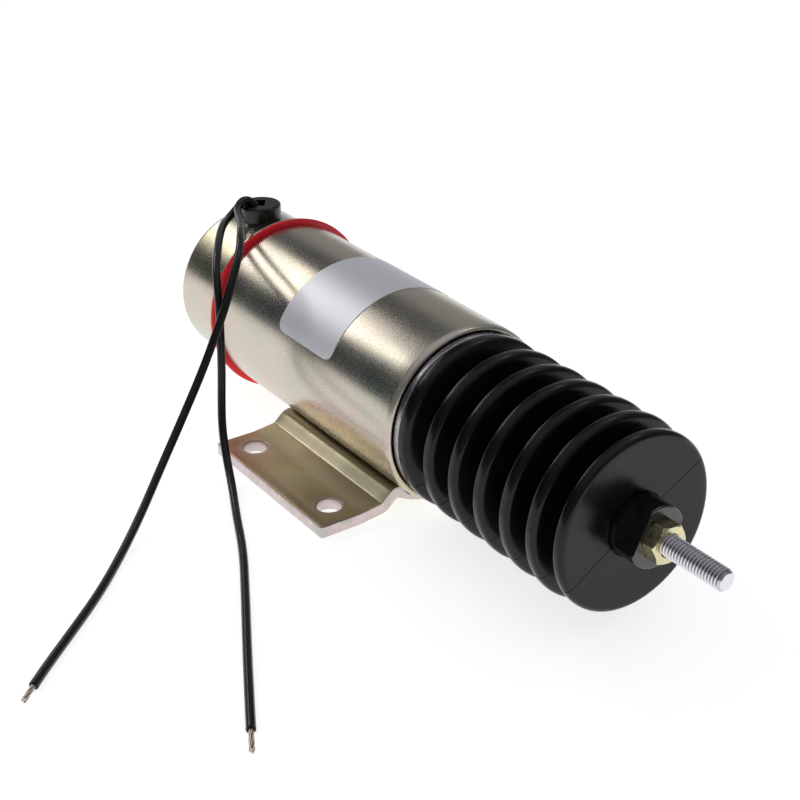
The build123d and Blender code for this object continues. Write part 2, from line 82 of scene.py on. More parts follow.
# =====================================================================
# materials
# =====================================================================
class Mat:
    """A small builder round one node material. Lengths in its noises are in metres."""

    def __init__(self, name, color=(0.5, 0.5, 0.5), metallic=0.0, roughness=0.5, **sockets):
        self.m = bpy.data.materials.new(name)
        self.m.use_nodes = True
        self.t = self.m.node_tree
        self.b = self.t.nodes["Principled BSDF"]
        self.b.inputs["Base Color"].default_value = (*color, 1)
        self.b.inputs["Metallic"].default_value = metallic
        self.b.inputs["Roughness"].default_value = roughness
        for k, v in sockets.items():
            self.b.inputs[k.replace("_", " ")].default_value = v
        self.m.diffuse_color = (*color, 1)
        self.co = self.t.nodes.new("ShaderNodeTexCoord").outputs["Object"]
        MAT[name] = self.m

    def node(self, kind, **props):
        n = self.t.nodes.new(kind)
        for k, v in props.items():
            setattr(n, k, v)
        return n

    def link(self, a, b):
        self.t.links.new(a, b)

    def space(self, scale=(1, 1, 1), rot=(0, 0, 0), loc=(0, 0, 0)):
        n = self.node("ShaderNodeMapping")
        n.inputs["Scale"].default_value = scale
        n.inputs["Rotation"].default_value = rot
        n.inputs["Location"].default_value = loc
        self.link(self.co, n.inputs["Vector"])
        return n.outputs["Vector"]

    def noise(self, scale, detail=4.0, rough=0.55, vec=None, distort=0.0, lac=2.0):
        n = self.node("ShaderNodeTexNoise")
        n.inputs["Scale"].default_value = scale
        n.inputs["Detail"].default_value = detail
        n.inputs["Roughness"].default_value = rough
        n.inputs["Distortion"].default_value = distort
        n.inputs["Lacunarity"].default_value = lac
        self.link(vec or self.co, n.inputs["Vector"])
        return n.outputs["Fac"]

    def voronoi(self, scale, feature="F1", vec=None, rand=1.0):
        n = self.node("ShaderNodeTexVoronoi", feature=feature)
        n.inputs["Scale"].default_value = scale
        n.inputs["Randomness"].default_value = rand
        self.link(vec or self.co, n.inputs["Vector"])
        return n.outputs["Distance"]

    def ramp(self, fac, *stops):
        n = self.node("ShaderNodeValToRGB")
        r = n.color_ramp
        while len(r.elements) < len(stops):
            r.elements.new(0.5)
        for e, (p, c) in zip(r.elements, stops):
            e.position = p
            e.color = (*c, 1) if hasattr(c, "__len__") else (c, c, c, 1)
        self.link(fac, n.inputs["Fac"])
        return n.outputs["Color"]

    def span(self, val, a, b, c=0.0, d=1.0, smooth=False):
        n = self.node("ShaderNodeMapRange")
        n.interpolation_type = "SMOOTHSTEP" if smooth else "LINEAR"
        for k, v in zip(("From Min", "From Max", "To Min", "To Max"), (a, b, c, d)):
            n.inputs[k].default_value = v
        self.link(val, n.inputs["Value"])
        return n.outputs["Result"]

    def math(self, op, a, b=None, clamp=False):
        n = self.node("ShaderNodeMath", operation=op, use_clamp=clamp)
        for i, x in enumerate((a, b)):
            if x is None:
                continue
            if isinstance(x, (int, float)):
                n.inputs[i].default_value = x
            else:
                self.link(x, n.inputs[i])
        return n.outputs[0]

    def mix(self, fac, a, b, mode="MIX"):
        n = self.node("ShaderNodeMix", data_type="RGBA", blend_type=mode)
        for sock, x in (("Factor", fac), ("A", a), ("B", b)):
            i = [s for s in n.inputs if s.name == sock and s.enabled][0]
            if hasattr(x, "is_linked"):
                self.link(x, i)
            elif sock == "Factor":
                i.default_value = x
            else:
                i.default_value = (*x, 1)
        return [s for s in n.outputs if s.enabled][0]

    def xyz(self, vec=None):
        n = self.node("ShaderNodeSeparateXYZ")
        self.link(vec or self.co, n.inputs[0])
        return n.outputs

    def bump(self, height, dist, strength=1.0, normal=None):
        n = self.node("ShaderNodeBump")
        n.inputs["Strength"].default_value = strength
        n.inputs["Distance"].default_value = dist
        self.link(height, n.inputs["Height"])
        if normal is not None:
            self.link(normal, n.inputs["Normal"])
        return n.outputs["Normal"]

    def color(self, sock):
        self.link(sock, self.b.inputs["Base Color"])
        return self

    def rough(self, sock):
        self.link(sock, self.b.inputs["Roughness"])
        return self

    def normal(self, sock):
        self.link(sock, self.b.inputs["Normal"])
        return self

    def angle(self):
        """Angle about the solenoid's axis from +Z towards +Y, in radians."""
        o = self.xyz()
        z = self.math("SUBTRACT", o["Z"], AXIS_Z * MM)
        return self.math("ARCTAN2", o["Y"], z)


def zinc_body(name, seed=0.0):
    m = Mat(name, (0.70, 0.64, 0.50), 1.0, 0.26)
    shifted = m.space(loc=(seed, seed * 0.7, 0))
    # plating tints in soft clouds: cream, green, pink, straw
    cloud = m.noise(34, 3, 0.5, shifted)
    tint = m.ramp(cloud, (0.33, (0.530, 0.535, 0.42)), (0.45, (0.59, 0.535, 0.45)),
                  (0.55, (0.61, 0.52, 0.45)), (0.68, (0.58, 0.52, 0.36)))
    fine = m.noise(900, 5, 0.65, shifted)
    tint = m.mix(m.span(fine, 0.35, 0.7, 0.0, 0.30), tint, (0.50, 0.49, 0.40), "MIX")
    # sparse dark pits
    pit = m.voronoi(420, vec=shifted)
    pit = m.span(pit, 0.03, 0.085, 1.0, 0.0)
    gate = m.span(m.noise(90, 2, 0.5, shifted), 0.54, 0.64)
    pit = m.math("MULTIPLY", pit, gate)
    tint = m.mix(m.math("MULTIPLY", pit, 0.55), tint, (0.16, 0.15, 0.12))
    m.color(tint)
    r = m.noise(1800, 3, 0.55, shifted)
    grain = m.noise(45, 2, 0.5, shifted)
    rr = m.math("ADD", m.span(r, 0.3, 0.75, 0.20, 0.32), m.span(grain, 0.35, 0.7, -0.02, 0.04))
    m.rough(rr)
    # orange-peel grain, drawing marks round the tube and a soft waviness
    h1 = m.noise(2200, 3, 0.55, shifted)
    h2 = m.noise(260, 3, 0.5, shifted)
    drawn = m.noise(1.0, 3, 0.6, m.space(scale=(1500, 60, 60)))
    n = m.bump(h2, 0.00001, 0.10)
    n = m.bump(h1, 0.000012, 0.3, n)
    n = m.bump(drawn, 0.000006, 0.30, n)
    n = m.bump(m.math("MULTIPLY", pit, -1.0), 0.00006, 0.8, n)
    m.normal(n)
    return m.m


def zinc_olive(name):
    m = Mat(name, (0.50, 0.42, 0.22), 1.0, 0.30)
    o = m.xyz()
    cloud = m.noise(48, 4, 0.55)
    base = m.ramp(cloud, (0.34, (0.50, 0.43, 0.26)), (0.5, (0.58, 0.51, 0.31)), (0.66, (0.55, 0.52, 0.36)))
    # redder plating towards the rear and round the outer rim
    rear = m.span(m.math("ADD", o["X"], m.span(m.noise(70, 3), 0, 1, -0.012, 0.012)), 0.004, -0.030, 0.0, 0.75, True)
    ay = m.math("ABSOLUTE", o["Y"])
    rim = m.span(ay, 0.0325, 0.0425, 0.0, 0.45, True)
    red = m.math("ADD", rear, rim, True)
    base = m.mix(red, base, (0.50, 0.33, 0.24))
    front = m.span(o["X"], 0.024, 0.0305, 0.0, 0.5, True)
    base = m.mix(front, base, (0.52, 0.37, 0.27))
    # pinkish halo round each hole
    hx = m.math("ABSOLUTE", m.math("SUBTRACT", m.math("ABSOLUTE", o["X"]), 0.021))
    hy = m.math("ABSOLUTE", m.math("SUBTRACT", ay, 0.034))
    d = m.math("SQRT", m.math("ADD", m.math("MULTIPLY", hx, hx), m.math("MULTIPLY", hy, hy)))
    halo = m.span(d, 0.0062, 0.0040, 0.0, 0.6, True)
    base = m.mix(halo, base, (0.58, 0.46, 0.48))
    # fine rolling marks across the sheet; the sheet inward of the lower bend is painted lighter (painted highlight),
    # and the sheet up against the can is painted dark (painted shade and the can's dark reflection)
    rub = m.noise(1.0, 3, 0.6, m.space(scale=(2600, 60, 60)))
    base = m.mix(m.span(rub, 0.45, 0.72, 0.0, 0.16), base, (0.60, 0.54, 0.36))
    base = m.mix(m.span(ay, 0.0300, 0.0275, 0.0, 0.65, True), base, (0.68, 0.62, 0.44))
    base = m.mix(m.span(ay, 0.0215, 0.0165, 0.0, 0.70, True), base, (0.24, 0.20, 0.11))
    m.color(base)
    g = m.noise(2000, 3, 0.6)
    m.rough(m.math("ADD", m.span(g, 0.3, 0.7, 0.26, 0.36), m.span(rub, 0.4, 0.7, 0.0, 0.10)))
    n = m.bump(g, 0.00001, 0.4)
    n = m.bump(rub, 0.000003, 0.3, n)
    m.normal(n)
    return m.m


def zinc_edge(name):
    m = Mat(name, (0.82, 0.75, 0.75), 1.0, 0.34)
    cl = m.noise(160, 4, 0.6)
    m.color(m.ramp(cl, (0.3, (0.46, 0.50, 0.46)), (0.47, (0.62, 0.53, 0.51)), (0.62, (0.70, 0.62, 0.62)), (0.74, (0.50, 0.43, 0.38))))
    tear = m.noise(1.0, 4, 0.65, m.space(scale=(900, 900, 260)))
    m.rough(m.span(tear, 0.3, 0.7, 0.22, 0.42))
    n = m.bump(tear, 0.00016, 0.6)
    m.normal(m.bump(m.noise(1300, 3, 0.6), 0.00003, 0.5, n))
    return m.m


def rubber(name, base=0.0075, rough=0.36, spec=0.42, grain=0.00002, dust=0.3):
    m = Mat(name, (base, base * 0.93, base), 0.0, rough, Specular_IOR_Level=spec)
    cl = m.noise(60, 3, 0.5)
    m.color(m.ramp(cl, (0.35, (base * 0.75, base * 0.7, base * 0.75)), (0.68, (base * 1.5, base * 1.38, base * 1.42))))
    g = m.noise(900, 4, 0.6)
    smear = m.noise(1.0, 3, 0.6, m.space(scale=(240, 60, 60)))
    m.rough(m.math("ADD", m.span(g, 0.3, 0.7, rough - 0.04, rough + 0.05), m.span(smear, 0.35, 0.7, -0.03, 0.06)))
    n = m.bump(m.noise(150, 2, 0.5), 0.00006, 0.18)
    n = m.bump(g, grain, 0.6, n)
    # a few specks of dust
    sp = m.math("MULTIPLY", m.span(m.voronoi(330), 0.03, 0.06, 1.0, 0.0), m.span(m.noise(60, 2), 0.56, 0.62))
    n = m.bump(sp, 0.00005, dust, n)
    m.normal(n)
    return m.m


def plain(name, color, metallic, rough, grain=900, depth=0.00002, vary=0.12, spec=0.5):
    m = Mat(name, color, metallic, rough, Specular_IOR_Level=spec)
    cl = m.noise(120, 4, 0.6)
    lo = tuple(c * (1 - vary) for c in color)
    hi = tuple(min(1, c * (1 + vary)) for c in color)
    m.color(m.ramp(cl, (0.32, lo), (0.68, hi)))
    g = m.noise(grain, 4, 0.6)
    m.rough(m.span(g, 0.3, 0.7, max(0.04, rough - 0.06), min(1, rough + 0.08)))
    m.normal(m.bump(g, depth, 0.6))
    return m.m


def winding(name, color, pitch):
    """Layer-wound wire: round ridges across the axis, with painted shade in the grooves between turns."""
    m = Mat(name, color, 0.9, 0.3)
    o = m.xyz()
    ph = m.math("MULTIPLY", o["X"], 2 * math.pi / pitch)
    w = m.math("ABSOLUTE", m.math("SINE", m.math("MULTIPLY", ph, 0.5)))
    # painted shade: the grooves between turns are painted a quarter as bright as the ridges
    m.color(m.mix(m.span(w, 0.0, 0.5), tuple(c * 0.25 for c in color), color))
    m.rough(m.span(m.noise(600), 0.3, 0.7, 0.22, 0.4))
    m.normal(m.bump(w, pitch * 0.35, 1.0))
    return m.m


zinc_body("zinc_body")
zinc_body("zinc_cap", 0.31)
zinc_olive("zinc_olive")
zinc_edge("zinc_edge")
rubber("rubber_boot_black", 0.0040, 0.20, 0.30, 0.000004, 0.1)
rubber("rubber_dull", 0.0045, 0.26, 0.45, 0.00001)
rubber("lead_black", 0.0050, 0.26, 0.38, 0.000005, 0.05)
plain("hub_black", (0.006, 0.0055, 0.006), 0.0, 0.20, 700, 0.000002, 0.2, 1.0)
plain("zinc_bright", (0.70, 0.70, 0.70), 1.0, 0.20, 900, 0.00001, 0.08)
# painted shade: the front plate is a darker copy of the zinc, standing in for the shade and dark reflection on its rim
plain("zinc_plate_painted_shade", (0.40, 0.375, 0.40), 1.0, 0.24, 900, 0.00001, 0.08)
plain("zinc_gold", (0.72, 0.66, 0.40), 1.0, 0.25, 600, 0.000004, 0.10)
plain("gasket_red", (0.92, 0.016, 0.028), 0.0, 0.30, 700, 0.000004, 0.05, 0.40)
plain("wire_tinned", (0.66, 0.58, 0.50), 1.0, 0.28, 900, 0.00001, 0.25)
plain("steel_plain", (0.50, 0.50, 0.51), 1.0, 0.28)
plain("spring_steel", (0.36, 0.36, 0.37), 1.0, 0.32)
plain("brass_tube", (0.78, 0.60, 0.30), 1.0, 0.24)
plain("copper_contact", (0.76, 0.40, 0.25), 1.0, 0.24)
plain("spool_nylon", (0.72, 0.69, 0.58), 0.0, 0.42)
plain("wrap_tape", (0.42, 0.36, 0.14), 0.0, 0.45, 500, 0.00006)
plain("phenolic", (0.085, 0.035, 0.02), 0.0, 0.38)
plain("weld_bead", (0.52, 0.50, 0.43), 1.0, 0.34, 260, 0.00030, 0.2)
winding("winding_inner", (0.62, 0.26, 0.10), 0.0009)
winding("winding_outer", (0.66, 0.30, 0.12), 0.0005)


def label_foil(name):
    m = Mat(name, (0.96, 0.96, 0.98), 0.70, 0.50)
    cl = m.noise(26, 2, 0.5)
    m.color(m.ramp(cl, (0.35, (0.935, 0.945, 0.975)), (0.65, (0.96, 0.965, 0.99))))
    g = m.noise(1500, 3, 0.6)
    m.rough(m.span(g, 0.3, 0.7, 0.46, 0.54))
    n = m.bump(m.noise(55, 2, 0.5), 0.00006, 0.2)
    m.normal(m.bump(g, 0.000005, 0.5, n))
    return m.m


def stud_steel(name):
    m = Mat(name, (0.60, 0.57, 0.57), 1.0, 0.26)
    o = m.xyz()
    z = m.math("SUBTRACT", o["Z"], AXIS_Z * MM)
    r = m.math("SQRT", m.math("ADD", m.math("MULTIPLY", o["Y"], o["Y"]), m.math("MULTIPLY", z, z)))
    # painted shade: the thread roots and the plain shank are painted dark, the crests keep the bright metal colour
    inside = m.math("MULTIPLY", m.span(r, 0.00285, 0.00245, 0.0, 1.0), m.span(o["X"], 0.1414, 0.1410, 0.0, 1.0))
    m.color(m.mix(inside, (0.80, 0.79, 0.82), (0.24, 0.23, 0.25)))
    m.rough(m.span(m.noise(1200, 3, 0.6), 0.3, 0.7, 0.20, 0.32))
    return m.m


label_foil("label_silver")
stud_steel("stud_steel")

FINISH = {
    "housing_tube": "zinc_body", "mounting_bracket": "zinc_olive", "saddle_welds": "weld_bead",
    "rear_cap": "zinc_cap", "rear_gasket": "gasket_red", "lead_grommet": "rubber_dull",
    "cap_posts": "brass_tube", "cap_screws": "zinc_bright", "rear_pole_piece": "steel_plain",
    "guide_tube": "brass_tube", "coil_spool": "spool_nylon", "pull_in_coil": "winding_inner",
    "hold_in_coil": "winding_outer", "coil_wrap": "wrap_tape", "plunger": "steel_plain",
    "front_end_plate": "zinc_plate_painted_shade", "plunger_rod": "hub_black", "pull_stud": "stud_steel",
    "jam_nut": "zinc_gold", "spring_seat": "steel_plain", "return_spring": "spring_steel",
    "rubber_boot": "rubber_boot_black", "switch_base": "phenolic", "fixed_contacts": "copper_contact",
    "moving_contact": "copper_contact", "switch_pin": "phenolic", "spring_cup": "phenolic",
    "switch_spring": "spring_steel", "lead_lugs": "copper_contact", "rating_label": "label_silver",
    "lead_a": "lead_black", "lead_a_strands": "wire_tinned",
    "lead_b": "lead_black", "lead_b_strands": "wire_tinned",
}
for n, o in nodes.items():
    o.data.materials.clear()
    o.data.materials.append(MAT[FINISH[n]])


# =====================================================================
# mesh helpers
# =====================================================================
def polar(x, r, deg):
    a = math.radians(deg)
    return (x * MM, r * math.sin(a) * MM, (AXIS_Z + r * math.cos(a)) * MM)


def make(name, verts, faces, mat, body, node=None, slot=None, sharp=34.0):
    me = bpy.data.meshes.new(name)
    me.from_pydata(verts, [], faces)
    me.validate(clean_customdata=False)
    bm = bmesh.new()
    bm.from_mesh(me)
    bmesh.ops.recalc_face_normals(bm, faces=bm.faces)
    bm.to_mesh(me)
    bm.free()
    ob = bpy.data.objects.new(name, me)
    scene.collection.objects.link(ob)
    me.materials.append(MAT[mat] if isinstance(mat, str) else mat)
    me.shade_smooth()
    if sharp:
        me.set_sharp_from_angle(angle=math.radians(sharp))
    if body:
        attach(ob, body)
    if node:
        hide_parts(node)
    return ob


def rounded(points, rounds, step=14.0):
    """Closed polygon of (x, r) with some corners turned into arcs."""
    out = []
    n = len(points)
    rd = dict(rounds)
    for i, p in enumerate(points):
        if i not in rd:
            out.append(tuple(p))
            continue
        a = Vector(points[i - 1]) - Vector(p)
        b = Vector(points[(i + 1) % n]) - Vector(p)
        ang = a.angle(b)
        r = rd[i]
        t = min(r / math.tan(ang / 2), a.length * 0.499, b.length * 0.499)
        r = t * math.tan(ang / 2)
        an, bn = a.normalized(), b.normalized()
        c = Vector(p) + (an + bn).normalized() * (r / math.sin(ang / 2))
        s, e = Vector(p) + an * t, Vector(p) + bn * t
        a0 = math.atan2(s.y - c.y, s.x - c.x)
        a1 = math.atan2(e.y - c.y, e.x - c.x)
        d = (a1 - a0 + math.pi) % (2 * math.pi) - math.pi
        k = max(2, int(abs(math.degrees(d)) / step))
        for j in range(k + 1):
            q = a0 + d * j / k
            out.append((c.x + r * math.cos(q), c.y + r * math.sin(q)))
    return out


def fine(points, step):
    """Cuts long sides of a closed polygon into pieces no longer than step."""
    out = []
    for i, p in enumerate(points):
        q = points[(i + 1) % len(points)]
        d = math.hypot(q[0] - p[0], q[1] - p[1])
        k = max(1, math.ceil(d / step))
        for j in range(k):
            out.append((p[0] + (q[0] - p[0]) * j / k, p[1] + (q[1] - p[1]) * j / k))
    return out


def lathe(name, profile, segs, *args, shape=None, columns=None, **kw):
    """Turns a closed (x, r) profile about the axis. columns: list of (degrees, offset in mm)."""
    cols = columns or [(360.0 * k / segs, 0.0) for k in range(segs)]
    verts, faces = [], []
    np_ = len(profile)
    for deg, off in cols:
        for i, (x, r) in enumerate(profile):
            a = deg + (math.degrees(off / r) if off and r > 0.5 else 0.0)
            if shape:
                x, r = shape(i, x, r, a, off)
            verts.append(polar(x, r, a))
    nc = len(cols)
    for c in range(nc):
        d = (c + 1) % nc
        for i in range(np_):
            j = (i + 1) % np_
            faces.append((c * np_ + i, c * np_ + j, d * np_ + j, d * np_ + i))
    return make(name, verts, faces, *args, **kw)


# =====================================================================
# can, gasket
# =====================================================================
tube_prof = rounded([(-54.6, 24.6), (-54.6, 27.0), (39.0, 27.0), (40.3, 26.58), (40.7, 26.05), (40.7, 25.75),
                     (36.2, 25.75), (36.2, 24.6)],
                    [(0, 0.2), (1, 0.5), (2, 2.4), (3, 0.9), (4, 0.4), (5, 0.12)], 6)
tube_prof = fine(tube_prof, 4.0)
can = lathe("can_shell", tube_prof, 256, "zinc_body", "housing", node="housing_tube", slot="zinc_body", sharp=40)

ring_prof = rounded([(-56.0, 20.5), (-56.0, 28.8), (-54.6, 28.8), (-54.6, 20.5)], [(1, 0.6), (2, 0.6)], 10)


def ring_shape(i, x, r, a, off):
    # rubber squeezed a little unevenly between the cap and the can
    w = math.sin(math.radians(3 * a + 40)) * 0.5 + math.sin(math.radians(7 * a + 110)) * 0.3
    if r > 27.5:
        r -= 0.06 * (w + 0.8)
    return x, r


lathe("seal_ring", fine(ring_prof, 1.2), 220, "gasket_red", "housing", shape=ring_shape,
      node="rear_gasket", slot="gasket_red", sharp=40)

# =====================================================================
# rubber boot: bellows on the housing, and a front that rides on the plunger
# =====================================================================
CRESTS = [45.2, 56.7, 67.6, 78.4, 89.1, 99.5, 108.8]
CREST_R, VALLEY_R, WALL = 25.9, 17.2, 1.6
VALLEYS = [(a + b) / 2 for a, b in zip(CRESTS, CRESTS[1:])]
DEPTH = [19.0] + [VALLEY_R] * 5
SPLIT = VALLEYS[-1]
PARTING = 60.5


def boot_outline():
    pts, rnd = [], []

    def add(x, r, fr=0.0):
        pts.append((x, r))
        if fr:
            rnd.append((len(pts) - 1, fr))

    last = len(CRESTS) - 1
    add(43.15, 19.4, 0.2)
    for i, xc in enumerate(CRESTS):
        top = CREST_R if i < last else 25.0
        add(xc - 1.35 if i else 43.15, top, 1.3)
        add(xc + 1.9, top, 1.6)
        if i < last:
            add(VALLEYS[i] - 1.2, DEPTH[i], 1.0)
            add(VALLEYS[i] + 1.2, DEPTH[i], 1.0)
    outer_n = len(pts)
    add(110.2, 12.5, 2.5)
    add(110.2, 8.9, 0.3)
    add(109.1, 8.9)
    add(109.1, 7.95)
    add(105.9, 7.95)
    add(105.9, 11.2, 0.6)
    add(108.3, 13.0, 0.6)
    add(108.8, 23.4)
    add(CRESTS[last] - 0.6, 23.4)
    for i in range(last - 1, -1, -1):
        add(VALLEYS[i] + 2.45, DEPTH[i] - WALL, 0.5)
        add(VALLEYS[i] - 2.45, DEPTH[i] - WALL, 0.5)
        add(CRESTS[i] + 0.75, CREST_R - WALL, 0.35)
        if i:
            add(CRESTS[i] - 0.7, CREST_R - WALL, 0.35)
    add(45.2, CREST_R - WALL)
    add(45.2, 21.6, 0.3)
    add(46.2, 21.6)
    add(46.2, 19.4, 0.2)
    return fine(rounded(pts, rnd, 12), 1.3)


def clip(points, x, keep_low):
    """The part of a closed polygon on one side of the line at x."""
    out = []
    n = len(points)

    def inside(p):
        return p[0] <= x if keep_low else p[0] >= x

    for i in range(n):
        p, q = points[i], points[(i + 1) % n]
        if inside(p):
            out.append(p)
        if inside(p) != inside(q):
            t = (x - p[0]) / (q[0] - p[0])
            out.append((x, p[1] + (q[1] - p[1]) * t))
    return out


full = boot_outline()
rear_half = clip(full, SPLIT, True)
front_half = clip(full, SPLIT, False)


def boot_columns():
    cols = []
    for side in (PARTING, PARTING - 180.0):
        start = side
        for off in (-0.30, -0.13, 0.0, 0.13, 0.30):
            cols.append((side, off))
        k = 110
        for j in range(1, k):
            cols.append((side + 180.0 * j / k, 0.0))
    return cols


def outward(profile):
    """For each point of a closed profile, its outward normal."""
    res = []
    n = len(profile)
    area = sum(profile[i][0] * profile[(i + 1) % n][1] - profile[(i + 1) % n][0] * profile[i][1] for i in range(n))
    s = 1 if area > 0 else -1
    for i in range(n):
        a, b = profile[i - 1], profile[(i + 1) % n]
        t = Vector((b[0] - a[0], b[1] - a[1]))
        if t.length < 1e-9:
            t = Vector((1, 0))
        t.normalize()
        res.append((t.y * s, -t.x * s))
    return res


def outside_mask(profile):
    """A mask over a profile's points for the parting line; as written every point is marked."""
    mask = []
    for x, r in profile:
        i = min(range(len(CRESTS)), key=lambda k: abs(CRESTS[k] - x))
        inner = False
        # the inner skin lies about a wall's thickness inside the outer one
        mask.append(not inner)
    return mask


def boot_shape(profile):
    nrm = outward(profile)

    def shape(i, x, r, a, off):
        nx, nr = nrm[i]
        # slight hand-moulded unevenness of the crests
        if r > 20.0:
            w = math.sin(math.radians(2 * a + 17 * round(x / 10.8))) * 0.5 + math.sin(math.radians(5 * a + 53 * round(x / 10.8))) * 0.35
            x += 0.10 * w * (r - 20.0) / 6.0 * (0.0 if x < 44.2 or x > 110.9 else 1.0)
            r -= 0.05 * (1 + math.sin(math.radians(3 * a + 31 * round(x / 10.8)))) * (r - 20.0) / 6.0
        if off is not None and on_parting(a, off, r) and (nr > 0.05 or nx > 0.6) and x > 44.0:
            x -= 0.20 * nx
            r -= 0.20 * nr
        return x, r
    return shape


def on_parting(a, off, r):
    if off != 0.0:
        return False
    d = (a - PARTING) % 180.0
    return min(d, 180.0 - d) < 1e-6


cols = boot_columns()
bellows = lathe("boot_bellows", rear_half, 0, "rubber_boot_black", "housing", columns=cols,
                shape=boot_shape(rear_half), node="rubber_boot", slot="rubber_black", sharp=50)
boot_front = lathe("boot_front", front_half, 0, "rubber_boot_black", "plunger_assembly", columns=cols,
                   shape=boot_shape(front_half), node="rubber_boot", slot="rubber_black", sharp=50)
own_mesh(bellows)


# =====================================================================
# springs
# =====================================================================
def helix(name, r, wire, x0, x1, turns, mat, body, node, slot, dead=0.0):
    verts, faces = [], []
    n = int(turns * 48)
    ns = 14
    for k in range(n + 1):
        t = k / n
        a = 2 * math.pi * turns * t
        x = x0 + wire / 2 + (x1 - x0 - wire) * t
        c = Vector((x, r * math.sin(a), AXIS_Z + r * math.cos(a)))
        er = Vector((0, math.sin(a), math.cos(a)))
        ex = Vector((1, 0, 0))
        for j in range(ns):
            b = 2 * math.pi * j / ns
            p = c + (er * math.cos(b) + ex * math.sin(b)) * wire / 2
            verts.append(tuple(p * MM))
        if k:
            for j in range(ns):
                m = (j + 1) % ns
                faces.append(((k - 1) * ns + j, (k - 1) * ns + m, k * ns + m, k * ns + j))
    faces.append(tuple(range(ns))[::-1])
    faces.append(tuple(n * ns + j for j in range(ns)))
    return make(name, verts, faces, mat, body, node=node, slot=slot, sharp=60)


spring = helix("spring_return", 13.3, 1.75, 47.5, 96.1, 8.5, "spring_steel", "housing", "return_spring", "spring_steel")
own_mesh(spring)
spring2 = helix("spring_switch", 2.8, 0.58, -79.4, -62.05, 11, "spring_steel", "housing", "switch_spring", "spring_steel")
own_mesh(spring2)


# =====================================================================
# threaded stud
# =====================================================================
def stud():
    R, PITCH, DEPTH_T = 3.0, 1.0, 0.60
    x_plain0, x_th0, x1 = 102.9, 117.2, 141.5
    segs = 56
    xs = [x_plain0 + 0.0]
    rows = []

    def thread(u):
        # u: 0..1 along one pitch; flat crest, sloped flanks, flat root
        u = u % 1.0
        w = abs(u - 0.5) * 2.0          # 0 in the root, 1 at the crest
        return min(1.0, max(0.0, (w - 0.12) / 0.74))

    x = x_th0
    step = PITCH / 14.0
    grid = [x_plain0, x_plain0 + 0.4, x_th0 - 0.5]
    while x < x1 - 0.02:
        grid.append(x)
        x += step
    grid.append(x1)
    verts, faces = [], []
    for gx in grid:
        for k in range(segs):
            a = 2 * math.pi * k / segs
            if gx < x_th0 - 0.2:
                r = 2.45
            else:
                r = R - DEPTH_T * (1.0 - thread((gx - x_th0) / PITCH - k / segs))
                cone = R - 0.06 - (gx - (x1 - 0.75)) * 1.0
                if gx > x1 - 0.9:
                    r = min(r, max(2.2, cone))
            verts.append((gx * MM, r * math.sin(a) * MM, (AXIS_Z + r * math.cos(a)) * MM))
    ng = len(grid)
    for g in range(ng - 1):
        for k in range(segs):
            m = (k + 1) % segs
            faces.append((g * segs + k, g * segs + m, (g + 1) * segs + m, (g + 1) * segs + k))
    # end face: a small flat bevel and a shallow centre
    base = (ng - 1) * segs
    prev = [base + k for k in range(segs)]
    for rr, xx in ((1.95, x1), (1.2, x1 - 0.02)):
        ring = []
        for k in range(segs):
            a = 2 * math.pi * k / segs
            verts.append((xx * MM, rr * math.sin(a) * MM, (AXIS_Z + rr * math.cos(a)) * MM))
            ring.append(len(verts) - 1)
        for k in range(segs):
            m = (k + 1) % segs
            faces.append((prev[k], prev[m], ring[m], ring[k]))
        prev = ring
    faces.append(tuple(prev))
    faces.append(tuple(range(segs))[::-1])
    return make("stud_threaded", verts, faces, "stud_steel", "plunger_assembly", node="pull_stud",
                slot="zinc_bright", sharp=48)


stud()


# =====================================================================
# thin hex nut with chamfered faces
# =====================================================================
def hex_nut():
    af, t, x0, turn = 10.0, 4.2, 118.22, -22.0
    segs, rows = 180, 26
    verts, faces = [], []
    bore = 3.02

    def hexr(a):
        # a measured from a corner, degrees
        q = (a % 60.0) - 30.0
        r = (af / 2) / math.cos(math.radians(q))
        return min(r, af / 2 / math.cos(math.radians(30)) - 0.10)

    xs = [x0 + t * j / (rows - 1) for j in range(rows)]

    def cone(x):
        d0, d1 = x - x0, x0 + t - x
        return min(5.15 + d0 * 1.55, 5.10 + d1 * 1.55)

    rings = []
    bore_in = 3.35
    for x, kind in [(x0, "b0")] + [(x, "o") for x in xs] + [(x0 + t, "b1"), (x0 + t - 0.33, "b2"), (x0 + 0.33, "b3")]:
        ring = []
        for k in range(segs):
            d = 360.0 * k / segs
            if kind == "o":
                r = min(hexr(d - turn), cone(x))
            elif kind in ("b0", "b1"):
                r = bore_in
            else:
                r = bore
            verts.append(polar(x, r, d))
            ring.append(len(verts) - 1)
        rings.append(ring)
    nr = len(rings)
    for g in range(nr):
        h = (g + 1) % nr
        for k in range(segs):
            m = (k + 1) % segs
            faces.append((rings[g][k], rings[g][m], rings[h][m], rings[h][k]))
    return make("nut_jam", verts, faces, "zinc_gold", "plunger_assembly", node="jam_nut", slot="zinc_gold", sharp=26)


hex_nut()


